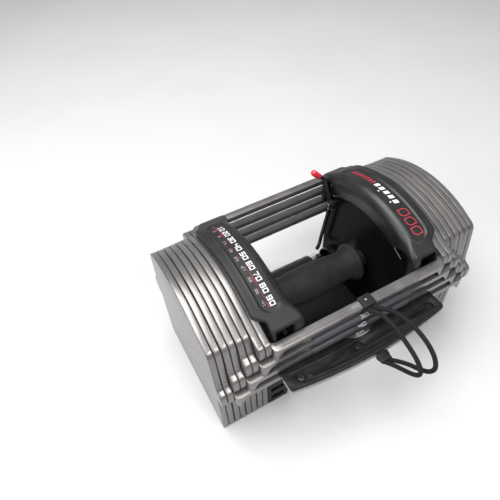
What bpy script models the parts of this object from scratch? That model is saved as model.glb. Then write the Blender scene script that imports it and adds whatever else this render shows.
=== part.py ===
"""Selectorised adjustable dumbbell: four nested plate weights on a handle core, with a tethered selector pin.

X runs along the grip, Y from the front rails (-Y) to the back rails (+Y), Z is up. All sizes below
are in millimetres, measured from the middle of the handle on the floor. The frame empty that every
piece hangs on moves them back, so that the origin is under the middle of the dumbbell with its pin.
"""
import math

import bmesh
import bpy
from mathutils import Matrix, Vector

MM = 0.001
GAP = 0.3                      # clearance between touching pieces

# Plates: each weight has a pair of plates on either side
LENGTH = 305.0
PLATE_T = 6.3
PAIR_SEAM = 0.4
WEIGHT_GAP = 0.8
PAIR_T = 2 * PLATE_T + PAIR_SEAM
PITCH_X = PAIR_T + WEIGHT_GAP
BASE_Y = 72.5                  # half depth of a plate at the floor
APEX_Z = 164.0                 # top of the arch
ARCH_R = 125.6
ARCH_CZ = APEX_Z - ARCH_R
ARCH_END_Y = 56.0
SHOULDER_Y = 70.5
EAR_Y = 85.0
EAR_BELOW_RAIL = 4.0           # an ear's middle lies this far under its rail's top
WEIGHTS = ("20", "30", "40", "50")

# Rails: one in front and one behind for each weight, stacked from the top down
RAIL_Y0 = 80.8
RAIL_Y1 = 89.6
RAIL_TOP = 135.0
RAIL_PITCH = 16.06
RAIL_T = 6.0
TAB_L = 7.0
SLEEVE_HALF = 57.0
SLEEVE_WALL = 1.0

# Handle core
WALL_X0 = 74.0
WALL_X1 = 97.8
PANEL_X0 = 70.0
COVER_X0 = 66.0
COVER_X1 = 104.0
COVER_RISE = 8.0
COVER_FOOT_Y = 80.2
COVER_FOOT_Z = 110.0
SLOT_H = 7.4
SLOT_COUNT = 8
SLOT_Z0 = RAIL_TOP - RAIL_T - (RAIL_PITCH - RAIL_T) / 2
GRIP_Z = 74.0
CORE_R = 12.0
TUBE_Y = 45.0
TUBE_Z = 24.5
TUBE_R = 21.0
TUBE_BORE_R = 19.9
ADDER_R = 19.3
ADDER_X0 = -67.0
ADDER_X1 = 53.0
BRIDGE_HALF = 33.5

# Lock lever on the right-hand panel
LEVER_X = 63.0
LEVER_ROD_R = 2.4
PIVOT_Y = 54.0
PIVOT_Z = 120.0

# Selector pin
PRONG_R = 3.175
PRONG_X = 86.2
PRONG_Z = SLOT_Z0 - 3 * RAIL_PITCH
PRONG_END_Y = 91.0
BAR_Y = -99.0
PIN_HALF = 92.0
PIN_BACK_Y = -91.4
PIN_LIP_Y = -86.0
PIN_CORNER_Y = -108.5
PIN_FRONT_Y = -115.5
PIN_TOP_Z = 90.6
PIN_SPLIT_Z = 83.9
PIN_BOTTOM_Z = 79.4
PIN_RIM = 0.6                  # the lower layer stands back this far
PIN_SCREWS = ((-77.0, -100.5), (-11.0, -100.5), (79.0, -99.5))

# Elastic tether: two strands of one cord
CORD_D = 4.4
SOCKET_FRONT_Y = -121.4

FRAME_Y = -(SOCKET_FRONT_Y + PRONG_END_Y) / 2

COLLECTION = "adjustable_dumbbell"


def clear_scene():
    """Remove every object that a new file starts with."""
    for obj in list(bpy.data.objects):
        bpy.data.objects.remove(obj, do_unlink=True)


def make_collection(name):
    """A collection in the scene."""
    collection = bpy.data.collections.new(name)
    bpy.context.scene.collection.children.link(collection)
    return collection


def make_material(name, color, roughness, metallic):
    """A plain Principled material."""
    material = bpy.data.materials.new(name)
    material.use_nodes = True
    shader = material.node_tree.nodes["Principled BSDF"]
    shader.inputs["Base Color"].default_value = (*color, 1.0)
    shader.inputs["Roughness"].default_value = roughness
    shader.inputs["Metallic"].default_value = metallic
    return material


clear_scene()
PARTS = make_collection(COLLECTION)
CUTTERS = make_collection("cutters")
FRAME = bpy.data.objects.new("dumbbell_frame", None)
FRAME.location = (0.0, FRAME_Y * MM, 0.0)
PARTS.objects.link(FRAME)
MATERIALS = {
    "weight_paint": make_material("weight_paint", (0.30, 0.285, 0.28), 0.38, 0.6),
    "sleeve_plastic": make_material("sleeve_plastic", (0.07, 0.066, 0.077), 0.45, 0.0),
    "cover_plastic": make_material("cover_plastic", (0.045, 0.045, 0.047), 0.6, 0.0),
    "gloss_black": make_material("gloss_black", (0.012, 0.012, 0.013), 0.2, 0.0),
    "grip_foam": make_material("grip_foam", (0.02, 0.02, 0.021), 0.8, 0.0),
    "steel": make_material("steel", (0.5, 0.5, 0.51), 0.25, 1.0),
    "red_plastic": make_material("red_plastic", (0.65, 0.03, 0.045), 0.3, 0.0),
    "cord_braid": make_material("cord_braid", (0.02, 0.02, 0.022), 0.7, 0.0),
}


# ---------------------------------------------------------------- shape helpers

def place_object(name, mesh, collection=None):
    """A new object on the frame, from a mesh in the frame's coordinates."""
    obj = bpy.data.objects.new(name, mesh)
    obj.parent = FRAME
    (collection or PARTS).objects.link(obj)
    return obj


def finish_mesh(name, bm, slot, collection=None):
    """Turn a bmesh in millimetres into a named object in metres."""
    bmesh.ops.remove_doubles(bm, verts=bm.verts, dist=1e-4)
    bmesh.ops.recalc_face_normals(bm, faces=bm.faces)
    bmesh.ops.scale(bm, vec=(MM, MM, MM), verts=bm.verts)
    mesh = bpy.data.meshes.new(name)
    bm.to_mesh(mesh)
    bm.free()
    obj = place_object(name, mesh, collection)
    if slot:
        mesh.materials.append(MATERIALS[slot])
    return obj


def axes_of(axis):
    """The places of an outline's two coordinates and of the extrusion, for an extrusion along axis."""
    return {"x": (1, 2, 0), "y": (0, 2, 1), "z": (0, 1, 2)}[axis]


def prism(name, outline, axis, low, high, slot=None, collection=None):
    """Extrude a flat outline along an axis, from low to high."""
    first, second, along = axes_of(axis)
    bm = bmesh.new()
    ring = []
    for point in outline:
        place = [0.0, 0.0, 0.0]
        place[first], place[second], place[along] = point[0], point[1], low
        ring.append(bm.verts.new(place))
    face = bm.faces.new(ring)
    made = bmesh.ops.extrude_face_region(bm, geom=[face])
    move = [0.0, 0.0, 0.0]
    move[along] = high - low
    verts = [item for item in made["geom"] if isinstance(item, bmesh.types.BMVert)]
    bmesh.ops.translate(bm, vec=move, verts=verts)
    return finish_mesh(name, bm, slot, collection)


def box(name, low, high, slot=None, collection=None):
    """A box between two corners."""
    low, high = Vector(low), Vector(high)
    bm = bmesh.new()
    bmesh.ops.create_cube(bm, size=1.0)
    bmesh.ops.scale(bm, vec=high - low, verts=bm.verts)
    bmesh.ops.translate(bm, vec=(low + high) / 2, verts=bm.verts)
    return finish_mesh(name, bm, slot, collection)


def cylinder(name, start, end, radius, slot=None, collection=None, sides=24):
    """A cylinder, or a cone, between two points."""
    start, end = Vector(start), Vector(end)
    along = end - start
    bm = bmesh.new()
    bmesh.ops.create_cone(bm, cap_ends=True, segments=sides, radius1=radius,
                          radius2=radius, depth=along.length)
    turn = along.to_track_quat("Z", "Y").to_matrix().to_4x4()
    bmesh.ops.transform(bm, matrix=Matrix.Translation((start + end) / 2) @ turn, verts=bm.verts)
    return finish_mesh(name, bm, slot, collection)


def turned(name, profile, centre, slot, steps):
    """Turn a closed profile of (place along X, radius) about a line along X."""
    mesh = bpy.data.meshes.new(name)
    verts = [(radius * MM, 0.0, place * MM) for place, radius in profile]
    edges = [(i, (i + 1) % len(verts)) for i in range(len(verts))]
    mesh.from_pydata(verts, edges, [])
    mesh.materials.append(MATERIALS[slot])
    obj = place_object(name, mesh)
    obj.location = Vector(centre) * MM
    obj.rotation_euler = (0.0, math.pi / 2, 0.0)
    screw = obj.modifiers.new("Turn", "SCREW")
    screw.steps = steps
    screw.render_steps = steps
    screw.use_merge_vertices = True
    screw.merge_threshold = 0.00001
    screw.use_smooth_shade = True
    return obj


def pipe(name, x0, x1, outer, inner, centre, slot, steps=24):
    """A straight tube along X."""
    profile = [(x1, outer), (x0, outer), (x0, inner), (x1, inner)]
    return turned(name, profile, centre, slot, steps)


def rod(name, points, radius, slot):
    """A bent rod or cord along points, as a closed mesh."""
    curve = bpy.data.curves.new(name + "_path", "CURVE")
    curve.dimensions = "3D"
    curve.bevel_depth = radius * MM
    curve.bevel_resolution = 2
    curve.use_fill_caps = True
    spline = curve.splines.new("POLY")
    spline.points.add(len(points) - 1)
    for node, point in zip(spline.points, points):
        node.co = (*(Vector(point) * MM), 1.0)
    guide = bpy.data.objects.new(name + "_guide", curve)
    PARTS.objects.link(guide)
    bpy.context.view_layer.update()
    graph = bpy.context.evaluated_depsgraph_get()
    mesh = bpy.data.meshes.new_from_object(guide.evaluated_get(graph))
    bm = bmesh.new()
    bm.from_mesh(mesh)
    bmesh.ops.remove_doubles(bm, verts=bm.verts, dist=1e-6)
    bmesh.ops.recalc_face_normals(bm, faces=bm.faces)
    bm.to_mesh(mesh)
    bm.free()
    mesh.name = name
    mesh.materials.clear()
    obj = place_object(name, mesh)
    bpy.data.objects.remove(guide, do_unlink=True)
    if slot:
        mesh.materials.append(MATERIALS[slot])
        mesh.shade_smooth()
    return obj


def boolean(obj, tool, operation):
    """Join a tool to an object, or cut it out."""
    modifier = obj.modifiers.new(tool.name, "BOOLEAN")
    modifier.operation = operation
    modifier.solver = "EXACT"
    modifier.object = tool
    tool.hide_render = True
    tool.display_type = "WIRE"


def bevel(obj, width, segments=2, angle=40.0):
    """Round the sharp edges."""
    modifier = obj.modifiers.new("Bevel", "BEVEL")
    modifier.width = width * MM
    modifier.segments = segments
    modifier.limit_method = "ANGLE"
    modifier.angle_limit = math.radians(angle)


def cut_box(obj, name, low, high):
    """Cut a box out of an object."""
    boolean(obj, box(name, low, high, None, CUTTERS), "DIFFERENCE")


def cut_cylinder(obj, name, start, end, radius, sides=24):
    """Cut a round hole in an object."""
    boolean(obj, cylinder(name, start, end, radius, None, CUTTERS, sides), "DIFFERENCE")


def rounded(corners, steps=3):
    """A closed outline whose corners (a, b, radius) are rounded with arcs."""
    points = []
    count = len(corners)
    for index, (a, b, radius) in enumerate(corners):
        here = Vector((a, b))
        if radius <= 0:
            points.append(here)
            continue
        back = Vector(corners[index - 1][:2]) - here
        ahead = Vector(corners[(index + 1) % count][:2]) - here
        angle = back.angle(ahead)
        reach = min(radius / math.tan(angle / 2), back.length * 0.49, ahead.length * 0.49)
        radius = reach * math.tan(angle / 2)
        start = here + back.normalized() * reach
        end = here + ahead.normalized() * reach
        middle = here + (back.normalized() + ahead.normalized()).normalized() * (radius / math.sin(angle / 2))
        sweep = (start - middle).angle_signed(end - middle)
        for step in range(steps + 1):
            turn = Matrix.Rotation(-sweep * step / steps, 2)
            points.append(middle + turn @ (start - middle))
    return points


def arch_z(y, rise=0.0):
    """Height of the arch at y, offset outwards by rise."""
    return ARCH_CZ + math.sqrt((ARCH_R + rise) ** 2 - y * y)


def arch(half_width, rise=0.0, steps=12):
    """Arch points from +half_width to -half_width, as corners without rounding."""
    return [(y, arch_z(y, rise), 0.0)
            for y in (half_width * (1 - 2 * i / steps) for i in range(steps + 1))]


def both_sides(half, top):
    """A closed outline from the corners of its +Y side, bottom to top, and its arch."""
    mirrored = [(-y, z, r) for y, z, r in reversed(half)]
    return rounded(half + top + mirrored)


def smooth(points, per_span=3):
    """Points along a smooth curve through the given route (Catmull-Rom)."""
    route = [Vector(p) for p in points]
    route = [2 * route[0] - route[1]] + route + [2 * route[-1] - route[-2]]
    out = []
    for i in range(1, len(route) - 2):
        a, b, c, d = route[i - 1:i + 3]
        for k in range(per_span):
            t = k / per_span
            out.append(0.5 * (2 * b + (c - a) * t + (2 * a - 5 * b + 4 * c - d) * t ** 2
                              + (3 * b - a - 3 * c + d) * t ** 3))
    out.append(route[-2])
    return out


# ---------------------------------------------------------------- weights

def rail_top(index):
    """Top height of a weight's rails; index 0 is the innermost weight."""
    return RAIL_TOP - RAIL_PITCH * index


def pair_inner_x(index):
    """The inner face of a weight's plates."""
    return LENGTH / 2 - PITCH_X * (len(WEIGHTS) - 1 - index) - PAIR_T


def plate_outline(index):
    """A plate's outline: straight base, ears at the rails, steep shoulders and a shallow arch."""
    ear = rail_top(index) - EAR_BELOW_RAIL
    tangent = -ARCH_END_Y / math.sqrt(ARCH_R ** 2 - ARCH_END_Y ** 2)
    shoulder_z = arch_z(ARCH_END_Y) + tangent * (SHOULDER_Y - ARCH_END_Y)
    half = [(BASE_Y, 0.0, 1.5), (BASE_Y, ear - 12.0, 4.0), (EAR_Y, ear - 8.5, 7.0), (EAR_Y, ear + 8.0, 7.0)]
    if ear + 13.0 < shoulder_z - 8.0:
        half.append((76.0, ear + 13.0, 7.0))
    half.append((SHOULDER_Y, shoulder_z, 11.0))
    return both_sides(half, arch(ARCH_END_Y))


def make_plates(index):
    """The four plates of one weight."""
    outline = plate_outline(index)
    inner = pair_inner_x(index)
    for side, sign in (("left", -1), ("right", 1)):
        for layer, start in (("inner", inner), ("outer", inner + PLATE_T + PAIR_SEAM)):
            low, high = sorted((sign * start, sign * (start + PLATE_T)))
            prism(f"plate_{WEIGHTS[index]}_{side}_{layer}", outline, "x", low, high, "weight_paint")


def make_rails(index):
    """A weight's front and back rail, each thin in the middle with a deep tab at both ends."""
    end = pair_inner_x(index) - GAP
    top = rail_top(index)
    thin = top - RAIL_T
    deep = top - RAIL_PITCH + GAP
    half = [(end, top, 0.0), (end, deep, 0.0), (end - TAB_L + 3.0, deep, 1.5), (end - TAB_L - 3.0, thin, 4.0)]
    outline = rounded(half + [(-x, z, r) for x, z, r in reversed(half)], 2)
    for place, sign in (("front", -1), ("back", 1)):
        low, high = sorted((sign * RAIL_Y0, sign * RAIL_Y1))
        rail = prism(f"rail_{WEIGHTS[index]}_{place}", outline, "y", low, high, "weight_paint")
        bevel(rail, 1.2, 1)
        if index and place == "front":
            make_sleeve(index, low, high, thin, top)


def make_sleeve(index, y0, y1, z0, z1):
    """A plastic sleeve round the middle of a front rail, which carries the weight's number."""
    name = f"sleeve_{WEIGHTS[index]}_front"
    reach = GAP + SLEEVE_WALL
    sleeve = box(name, (-SLEEVE_HALF, y0 - reach, z0 - reach), (SLEEVE_HALF, y1 + reach, z1 + reach),
                 "sleeve_plastic")
    bevel(sleeve, 0.6, 1)
    cut_box(sleeve, name + "_bore", (-SLEEVE_HALF - 5, y0 - GAP, z0 - GAP), (SLEEVE_HALF + 5, y1 + GAP, z1 + GAP))


# ---------------------------------------------------------------- handle core

def make_wall(side, sign):
    """A side wall with eight pin slots that run right through from front to back."""
    half = [(BASE_Y, 0.0, 1.5), (BASE_Y, 124.0, 6.0)]
    low, high = sorted((sign * WALL_X0, sign * WALL_X1))
    wall = prism(f"wall_{side}", both_sides(half, arch(64.0, -COVER_RISE)), "x", low, high, "gloss_black")
    for number in range(SLOT_COUNT):
        middle = SLOT_Z0 - RAIL_PITCH * number
        x0, x1 = sorted((sign * 78.5, sign * 93.9))
        cut_box(wall, f"slot_{side}_{number}", (x0, -90, middle - SLOT_H / 2), (x1, 90, middle + SLOT_H / 2))


def make_panel(side, sign):
    """The inner panel that closes the wall towards the hand, with holes for the cross tubes."""
    half = [(70.0, 1.0, 2.0), (70.0, 112.0, 6.0)]
    low, high = sorted((sign * PANEL_X0, sign * (WALL_X0 - GAP)))
    panel = prism(f"panel_{side}", both_sides(half, arch(60.0, -18.4)), "x", low, high, "gloss_black")
    x0, x1 = sign * (PANEL_X0 - 2), sign * WALL_X0
    cut_cylinder(panel, f"core_hole_{side}", (x0, 0, GRIP_Z), (x1, 0, GRIP_Z), CORE_R + GAP + 0.1)
    for y in (-TUBE_Y, TUBE_Y):
        cut_cylinder(panel, f"tube_hole_{side}_{y:.0f}", (x0, y, TUBE_Z), (x1, y, TUBE_Z), TUBE_R + GAP + 0.1)


def make_cover(side, sign):
    """The padded top cover: an arched cap with a foot in front and behind, each with a slot."""
    def span(a, b):
        return sorted((sign * a, sign * b))

    half = [(COVER_FOOT_Y, COVER_FOOT_Z, 2.0), (COVER_FOOT_Y, 145.6, 8.0)]
    cover = prism(f"cover_{side}", both_sides(half, arch(74.0, COVER_RISE)), "x",
                  *span(COVER_X0, COVER_X1), "cover_plastic")
    bevel(cover, 3.0, 2, 50.0)
    wall_room = both_sides([(BASE_Y + 0.4, 90.0, 0.0), (BASE_Y + 0.4, 124.4, 6.0)], arch(64.4, 0.9 - COVER_RISE))
    panel_room = both_sides([(70.4, 90.0, 0.0), (70.4, 112.4, 6.0)], arch(60.4, -17.4))
    plate_room = both_sides([(95.0, 90.0, 0.0), (95.0, 150.5, 0.0), (62.0, 150.5, 8.0)], arch(56.0, 0.4))
    for label, outline, x0, x1 in (("wall", wall_room, WALL_X0 - 0.15, WALL_X1 + 0.1),
                                   ("panel", panel_room, COVER_X0 - 6, WALL_X0),
                                   ("plates", plate_room, WALL_X1, COVER_X1 + 6)):
        room = prism(f"{label}_room_{side}", outline, "x", *span(x0, x1), None, CUTTERS)
        boolean(cover, room, "DIFFERENCE")
    for place, way in (("front", -1), ("back", 1)):
        y0, y1 = sorted((way * 75.4, way * 90.0))
        x0, x1 = span(71.5, 91.5)
        cut_box(cover, f"foot_slot_{side}_{place}", (x0, y0, 115.0), (x1, y1, 139.0))


def make_grip():
    """The core tube and the contoured grip that is moulded round it."""
    pipe("core_tube", -WALL_X0 + GAP, WALL_X0 - GAP, CORE_R, 9.5, (0, 0, GRIP_Z), "gloss_black", 24)
    bore = CORE_R + GAP
    right = [(0.0, 20.8), (14.0, 20.3), (28.0, 18.9), (39.0, 17.6), (47.0, 17.9), (52.0, 20.2),
             (55.0, 22.6), (57.5, 23.2), (59.4, 22.4), (60.0, 20.8)]
    outer = list(reversed(right)) + [(-x, r) for x, r in right[1:]]
    turned("grip", outer + [(-60.0, bore), (60.0, bore)], (0, 0, GRIP_Z), "grip_foam", 24)


def make_bridge():
    """The thin floor of the handle core, between the two cross tubes and the panels."""
    end = PANEL_X0 - GAP
    bridge = box("bottom_bridge", (-end, -BRIDGE_HALF, 2.0), (end, BRIDGE_HALF, 5.6), "gloss_black")
    bevel(bridge, 1.0, 1)


def make_adder(place, way):
    """A cross tube, open at its right end in a window, with the adder weight that it holds."""
    y = way * TUBE_Y
    ends = WALL_X0 - GAP
    tube = pipe(f"adder_tube_{place}", -ends, ends, TUBE_R, TUBE_BORE_R, (0, y, TUBE_Z), "gloss_black")
    cut_box(tube, f"window_{place}", (37.0, y - 26, TUBE_Z - 2.0), (62.0, y + 26, TUBE_Z + 26))
    adder = cylinder(f"adder_weight_{place}", (ADDER_X0, y, TUBE_Z), (ADDER_X1, y, TUBE_Z),
                     ADDER_R, "steel", None, 24)
    bevel(adder, 1.0, 1)


def make_lever():
    """The lock lever on the right-hand panel: a bent rod with a hub, its red tip and its pivot bolt."""
    elbow = Vector((61.2, 69.6, 148.6))
    reach = Vector((-13.4, 4.6, 12.6))
    path = [elbow + reach * 0.27, elbow, (62.8, 65.6, 142.5), (LEVER_X, 56.0, 124.0), (LEVER_X, 55.6, 112.0),
            (LEVER_X, 59.5, 92.0), (LEVER_X, 66.6, 54.0), (LEVER_X, 67.4, 48.5), (61.6, 66.4, 45.0),
            (58.4, 64.0, 43.0), (53.6, 61.0, 42.4)]
    lever = rod("lock_lever", path, LEVER_ROD_R, "gloss_black")
    hub = cylinder("lever_hub", (LEVER_X - 2.2, PIVOT_Y, PIVOT_Z), (LEVER_X + 2.2, PIVOT_Y, PIVOT_Z), 6.5,
                   None, CUTTERS)
    boolean(lever, hub, "UNION")
    cut_cylinder(lever, "hub_bore", (LEVER_X - 9, PIVOT_Y, PIVOT_Z), (LEVER_X + 9, PIVOT_Y, PIVOT_Z), 2.65, 16)
    tip_start = elbow + reach * 0.29
    tip = cylinder("lever_tip", tip_start, elbow + reach, 3.5, "red_plastic", None, 20)
    bevel(tip, 1.0)
    bolt = cylinder("lever_bolt", (57.8, PIVOT_Y, PIVOT_Z), (60.4, PIVOT_Y, PIVOT_Z), 4.6, "steel", None, 20)
    shank = cylinder("bolt_shank", (59.0, PIVOT_Y, PIVOT_Z), (PANEL_X0 - GAP, PIVOT_Y, PIVOT_Z), 2.35,
                     None, CUTTERS, 16)
    boolean(bolt, shank, "UNION")


# ---------------------------------------------------------------- selector pin and tether

def pin_outline(half, back, corner, front, steps=10):
    """The pin's outline from above: straight back, rounded corners and a bowed front."""
    sag = corner - front
    chord = half - 5.0
    radius = (chord * chord + sag * sag) / (2 * sag)
    bow = []
    for step in range(steps + 1):
        x = chord * (1 - 2 * step / steps)
        bow.append((x, front + radius - math.sqrt(radius * radius - x * x), 0.0))
    return rounded([(-half, back, 1.0), (-half, corner + 0.5, 5.0)] + bow[::-1]
                   + [(half, corner + 0.5, 5.0), (half, back, 1.0)])


def make_pin():
    """The U-shaped bar whose two prongs run under the rails, and the two-layer body it is held in."""
    bend = 7.0
    corner = []
    for step in range(7):
        angle = math.radians(15 * step)
        corner.append((PRONG_X - bend + bend * math.cos(angle), BAR_Y + bend - bend * math.sin(angle)))
    half = [(PRONG_X, PRONG_END_Y)] + corner
    path = half + [(-x, y) for x, y in reversed(half)]
    rod("pin_bar", [(x, y, PRONG_Z) for x, y in path], PRONG_R, "steel")

    rim = PIN_RIM
    base_outline = pin_outline(PIN_HALF - rim, PIN_BACK_Y, PIN_CORNER_Y + rim, PIN_FRONT_Y + rim)
    base = prism("pin_base", base_outline, "z", PIN_BOTTOM_Z, PIN_SPLIT_Z - GAP, "cover_plastic")
    top_outline = pin_outline(PIN_HALF, PIN_BACK_Y, PIN_CORNER_Y, PIN_FRONT_Y)
    cover = prism("pin_cover", top_outline, "z", PIN_SPLIT_Z, PIN_TOP_Z, "cover_plastic")
    lip = box("pin_lip", (-PIN_HALF, PIN_BACK_Y - 6.0, PIN_TOP_Z - 2.0), (PIN_HALF, PIN_LIP_Y, PIN_TOP_Z),
              None, CUTTERS)
    boolean(cover, lip, "UNION")
    cut_cylinder(cover, "label_notch", (0, -65.0, PIN_SPLIT_Z - 2), (0, -65.0, PIN_TOP_Z + 2), 29.0, 36)
    for number, (x, y) in enumerate(PIN_SCREWS):
        cut_cylinder(cover, f"head_hole_{number}", (x, y, PIN_TOP_Z - 2.2), (x, y, PIN_TOP_Z + 2), 4.6)
        for piece in (base, cover):
            cut_cylinder(piece, f"shank_hole_{piece.name}_{number}", (x, y, PIN_BOTTOM_Z + 1.2),
                         (x, y, PIN_TOP_Z), 2.1, 16)
        make_screw(number, x, y)
    bevel(cover, 0.8, 1, 50.0)


def make_screw(number, x, y):
    """A socket-head screw that holds the pin's two layers together."""
    top = PIN_TOP_Z - 0.3
    screw = cylinder(f"pin_screw_{number + 1}", (x, y, top - 1.6), (x, y, top), 4.2, "steel", None, 20)
    shank = cylinder(f"shank_{number}", (x, y, PIN_BOTTOM_Z + 1.6), (x, y, top - 1.0), 1.8, None, CUTTERS, 16)
    boolean(screw, shank, "UNION")
    cut_cylinder(screw, f"socket_{number}", (x, y, top - 1.3), (x, y, top + 1), 2.0, 6)


def make_tether():
    """Two strands of elastic from a hitch round the top front rail to a socket on the pin's front."""
    hitch = box("cord_hitch", (-4.0, -RAIL_Y1 - 2.2, RAIL_TOP - RAIL_T - 2.0), (10.0, -RAIL_Y0 + 1.8, RAIL_TOP + 2.0),
                "cord_braid")
    bevel(hitch, 1.2)
    cut_box(hitch, "hitch_bore", (-9, -RAIL_Y1 - GAP, RAIL_TOP - RAIL_T - GAP), (15, -RAIL_Y0 + GAP, RAIL_TOP + GAP))
    socket = box("cord_socket", (-1.0, SOCKET_FRONT_Y, 80.0), (11.5, PIN_FRONT_Y - GAP, 87.0), "cover_plastic")
    bevel(socket, 1.0)
    strand_1 = [(0.8, -92.5, 133.0), (0.8, -95.0, 133.0), (3.4, -100.5, 134.2), (6.2, -109.0, 134.2),
                (7.8, -118.6, 132.6), (8.4, -129.0, 129.4), (9.2, -140.0, 124.6), (10.2, -149.6, 118.0),
                (10.8, -155.6, 110.6), (10.6, -156.8, 103.0), (9.6, -152.0, 96.6), (8.0, -143.4, 91.6),
                (6.0, -134.4, 87.4), (3.6, -127.6, 84.4), (2.4, -124.6, 83.5), (2.4, -122.0, 83.5)]
    strand_2 = [(6.4, -92.5, 133.0), (6.4, -95.0, 133.0), (11.0, -100.0, 134.6), (16.2, -107.0, 135.2),
                (20.4, -116.6, 134.0), (23.4, -127.6, 131.2), (25.2, -139.6, 127.0), (25.8, -150.4, 121.0),
                (25.4, -157.6, 113.4), (24.2, -160.2, 105.4), (22.2, -157.2, 98.4), (19.6, -150.0, 93.6),
                (16.8, -141.0, 90.0), (13.0, -132.6, 86.2), (9.2, -127.0, 84.0), (8.0, -124.6, 83.5),
                (8.0, -122.0, 83.5)]
    for number, route in enumerate((strand_1, strand_2)):
        rod(f"cord_strand_{number + 1}", smooth(route, 2), CORD_D / 2, "cord_braid")


def main():
    """Build the whole object."""
    for index in range(len(WEIGHTS)):
        make_plates(index)
        make_rails(index)
    for side, sign in (("left", -1), ("right", 1)):
        make_wall(side, sign)
        make_panel(side, sign)
        make_cover(side, sign)
    make_grip()
    make_bridge()
    for place, way in (("front", -1), ("back", 1)):
        make_adder(place, way)
    make_lever()
    make_pin()
    make_tether()


main()
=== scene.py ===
import math
import bmesh
import bpy
from mathutils import Matrix, Vector


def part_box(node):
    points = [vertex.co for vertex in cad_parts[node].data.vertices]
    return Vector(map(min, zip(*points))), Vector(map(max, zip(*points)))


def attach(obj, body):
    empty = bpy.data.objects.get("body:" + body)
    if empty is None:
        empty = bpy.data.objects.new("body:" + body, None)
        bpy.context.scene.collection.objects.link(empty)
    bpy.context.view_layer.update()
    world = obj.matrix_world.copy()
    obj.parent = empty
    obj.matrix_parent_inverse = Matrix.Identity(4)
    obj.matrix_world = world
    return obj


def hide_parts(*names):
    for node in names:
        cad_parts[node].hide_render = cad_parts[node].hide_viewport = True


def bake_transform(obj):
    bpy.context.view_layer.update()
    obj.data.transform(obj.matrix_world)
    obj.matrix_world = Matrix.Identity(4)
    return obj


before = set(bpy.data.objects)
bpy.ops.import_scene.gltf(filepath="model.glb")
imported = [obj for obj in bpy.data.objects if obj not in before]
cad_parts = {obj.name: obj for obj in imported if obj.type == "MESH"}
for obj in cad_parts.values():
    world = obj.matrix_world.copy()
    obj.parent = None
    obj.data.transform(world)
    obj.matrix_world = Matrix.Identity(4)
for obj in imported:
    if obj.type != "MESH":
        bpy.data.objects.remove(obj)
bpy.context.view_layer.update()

# Everything is modelled in millimetres, measured from the middle of the handle on the floor,
# and put in metres in the frame by to_frame(). The middle comes from the frame itself.
MM = 0.001
MIDDLE_Y = sum(corner.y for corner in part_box("wall_left")) / 2

# Plates and rails
BASE_Y = 72.5
APEX_Z = 164.0
ARCH_R = 125.6
ARCH_CZ = APEX_Z - ARCH_R
ARCH_END_Y = 56.0
SHOULDER_Y = 70.5
EAR_Y = 85.0
EAR_BELOW_RAIL = 4.0
RAIL_T = 6.0
RAIL_FILLET = 6.0
TAB_L = 7.0
WEIGHTS = ("20", "30", "40", "50")
SIDES = (("left", -1), ("right", 1))
ENDS = (("front", -1), ("back", 1))

# Covers
COVER_IN_X = 66.0
COVER_OUT_X = 104.0
COVER_NECK_X = 94.0
COVER_WEB_X = 73.9
COVER_RISE = 8.0
COVER_FOOT_Y = 80.2
COVER_FOOT_Z = 110.0
PROFILE_STEP = 1.1
POCKET_X = 83.6
POCKET_HALF = 9.8
POCKET_BACK = 60.0
POCKET_FRONT = -66.5
POCKET_DEPTH = 1.0

# Handle, tubes and lever
BEAD_X = 69.6
PANEL_BELOW_ARCH = 18.9
GRIP_Z = 74.0
TUBE_Y = 45.0
TUBE_Z = 24.5
LEVER_X = 63.0
PIVOT_Y = 54.0
PIVOT_Z = 120.0

# Selector pin
PRONG_R = 3.175
PRONG_X = 86.2
PRONG_Z = 75.79
BAR_Y = -99.0
PIN_HALF = 92.0
PIN_BACK_Y = -91.4
PIN_LIP_Y = -86.0
PIN_CORNER_Y = -108.5
PIN_FRONT_Y = -115.5
PIN_CORNER_R = 5.0
NOTCH_Y = -65.0
NOTCH_R = 29.0
PIN_SCREWS = ((-77.0, -100.5), (-11.0, -100.5), (79.0, -99.5))
CORD_D = 4.4


def to_frame(point):
    """A point in millimetres from the handle's middle, as metres in the frame."""
    return Vector((point[0] * MM, point[1] * MM + MIDDLE_Y, point[2] * MM))


def node_box(name):
    """A CAD node's corners, in millimetres from the handle's middle."""
    low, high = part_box(name)
    shift = Vector((0.0, MIDDLE_Y, 0.0))
    return (low - shift) / MM, (high - shift) / MM


# -------- camera, light and floor

def make_camera():
    """The camera stands in front, above and to the left, turned a little about its own axis."""
    azimuth, elevation, roll = (math.radians(a) for a in (-25.415, 47.377, -4.357))
    back = Vector((math.sin(azimuth) * math.cos(elevation), -math.cos(azimuth) * math.cos(elevation),
                   math.sin(elevation)))
    level = Vector((math.cos(azimuth), math.sin(azimuth), 0.0))
    upward = back.cross(level)
    right = level * math.cos(roll) + upward * math.sin(roll)
    up = upward * math.cos(roll) - level * math.sin(roll)
    data = bpy.data.cameras.new("camera")
    data.sensor_width = 36.0
    data.lens = 32.90
    data.clip_start = 0.01
    camera = bpy.data.objects.new("camera", data)
    turn = Matrix((right, up, back)).transposed().to_4x4()
    camera.matrix_world = Matrix.Translation(to_frame((-197.0, -263.4, 484.7))) @ turn
    bpy.context.scene.collection.objects.link(camera)
    bpy.context.scene.camera = camera


def make_light(name, place, size, power):
    """A soft box that faces the object, its place in millimetres and its size in metres."""
    data = bpy.data.lights.new(name, "AREA")
    data.shape = "RECTANGLE"
    data.size = size[0]
    data.size_y = size[1]
    data.energy = power
    light = bpy.data.objects.new(name, data)
    light.location = to_frame(place)
    aim = to_frame((0, 0, 60)) - light.location
    light.rotation_euler = aim.to_track_quat("-Z", "Y").to_euler()
    bpy.context.scene.collection.objects.link(light)


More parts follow.
